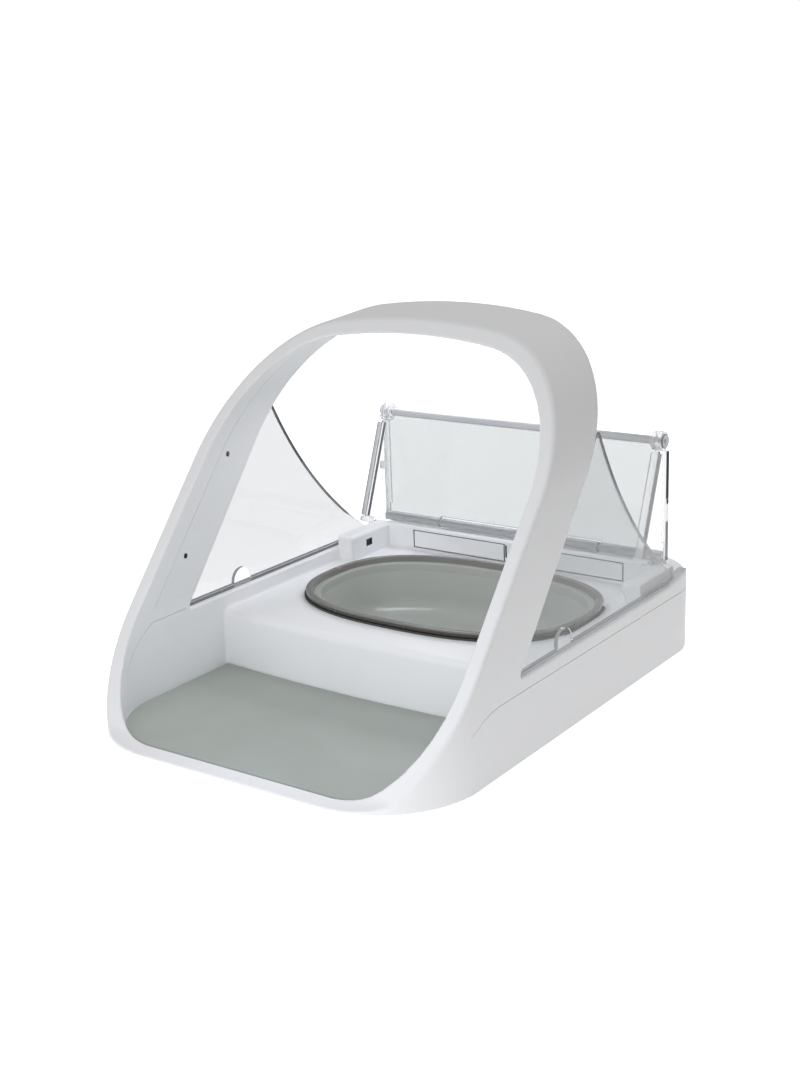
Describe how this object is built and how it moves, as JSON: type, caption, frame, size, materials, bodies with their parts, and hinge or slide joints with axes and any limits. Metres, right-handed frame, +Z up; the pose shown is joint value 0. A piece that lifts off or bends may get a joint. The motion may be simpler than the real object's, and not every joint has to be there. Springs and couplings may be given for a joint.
{
  "type": "microchip pet feeder",
  "caption": "Low white pet feeder with a leaning arch over a mat, an oval bowl in a raised deck, clear side guards and a clear folding lid that closes over the bowl.",
  "frame": {"origin": "centre of the footprint at the height the feet stand on", "axes": "+Z up, the arch and mat face -Y, +X to the viewer's right when seen from the front"},
  "size_m": [0.233, 0.32, 0.2147],
  "materials": {
    "housing_white": "satin moulded",
    "sensor_black": "satin",
    "copper_wire": "enamelled winding",
    "mat_grey": "matt, fine grain",
    "bowl_grey": "satin",
    "seal_dark": "matt",
    "clear_panel": "clear polycarbonate, polished",
    "strip_grey": "matt",
    "pin_steel": "drawn",
    "gear_nylon": "natural nylon",
    "motor_can": "plated",
    "board_green": "solder mask",
    "lens_milky": "diffusing",
    "button_grey": "satin",
    "cell_wrap": "plain sleeve",
    "contact_metal": "nickel plated",
    "foot_rubber": "matt",
    "screw_steel": "black zinc"
  },
  "bodies": {
    "root": {"lower_housing": "housing_white", "upper_housing": "housing_white", "arch_shell": "housing_white", "arch_inner_cover": "housing_white", "hatch_left": "housing_white", "hatch_right": "housing_white", "proximity_sensors": "sensor_black", "antenna_coil": "copper_wire", "bowl": "bowl_grey", "bowl_seal": "seal_dark", "hinge_barrels": "clear_panel", "side_guard_left": "clear_panel", "side_guard_right": "clear_panel", "gearbox": "gear_nylon", "drive_motor": "motor_can", "main_board": "board_green", "tact_switches": "sensor_black", "indicator_lens": "lens_milky", "battery_cells": "cell_wrap", "battery_contacts": "contact_metal", "rubber_feet": "foot_rubber", "housing_screws": "screw_steel"},
    "mat": {"mat": "mat_grey"},
    "lid_rear": {"lid_rear_panel": "clear_panel", "rear_hinge_pin": "pin_steel", "fold_strip": "strip_grey", "fold_pins": "clear_panel", "lid_gear": "gear_nylon"},
    "lid_front": {"lid_front_panel": "clear_panel", "lid_feet": "clear_panel"},
    "drive_pinion": {"drive_pinion": "gear_nylon"},
    "add_pet_button": {"add_pet_button": "button_grey"},
    "open_close_button": {"open_close_button": "button_grey"},
    "training_button": {"training_button": "button_grey"},
    "battery_door_left": {"battery_door_left": "housing_white"},
    "battery_door_right": {"battery_door_right": "housing_white"}
  },
  "joints": [
    {"name": "lid_hinge", "type": "hinge", "parent": "root", "child": "lid_rear", "pos_m": [0, 0.1282, 0.0581], "axis": [1, 0, 0], "range_deg": [0, 94]},
    {"name": "lid_fold", "type": "hinge", "parent": "lid_rear", "child": "lid_front", "pos_m": [0, 0.1282, 0.1295], "axis": [1, 0, 0], "range_deg": [-157, 0]},
    {"name": "pinion_spin", "type": "hinge", "parent": "root", "child": "drive_pinion", "pos_m": [0, 0.13021, 0.0467], "axis": [1, 0, 0], "range_deg": [-129.3, 0]},
    {"name": "mat_lift", "type": "slide", "parent": "root", "child": "mat", "axis": [0, 0, 1], "range_m": [0, 0.03]},
    {"name": "add_pet_press", "type": "slide", "parent": "root", "child": "add_pet_button", "axis": [0, -1, 0], "range_m": [0, 0.001], "stiffness_N_per_m": 300, "springref_m": -0.0005},
    {"name": "open_close_press", "type": "slide", "parent": "root", "child": "open_close_button", "axis": [0, -1, 0], "range_m": [0, 0.001], "stiffness_N_per_m": 300, "springref_m": -0.0005},
    {"name": "training_press", "type": "slide", "parent": "root", "child": "training_button", "axis": [0, -1, 0], "range_m": [0, 0.001], "stiffness_N_per_m": 300, "springref_m": -0.0005},
    {"name": "battery_door_left_slide", "type": "slide", "parent": "root", "child": "battery_door_left", "axis": [0, -1, 0], "range_m": [0, 0.008]},
    {"name": "battery_door_right_slide", "type": "slide", "parent": "root", "child": "battery_door_right", "axis": [0, -1, 0], "range_m": [0, 0.008]}
  ],
  "couplings": [
    {"joint": "lid_fold", "follows": "lid_hinge", "ratio": -1.67},
    {"joint": "pinion_spin", "follows": "lid_hinge", "ratio": -1.375}
  ]
}
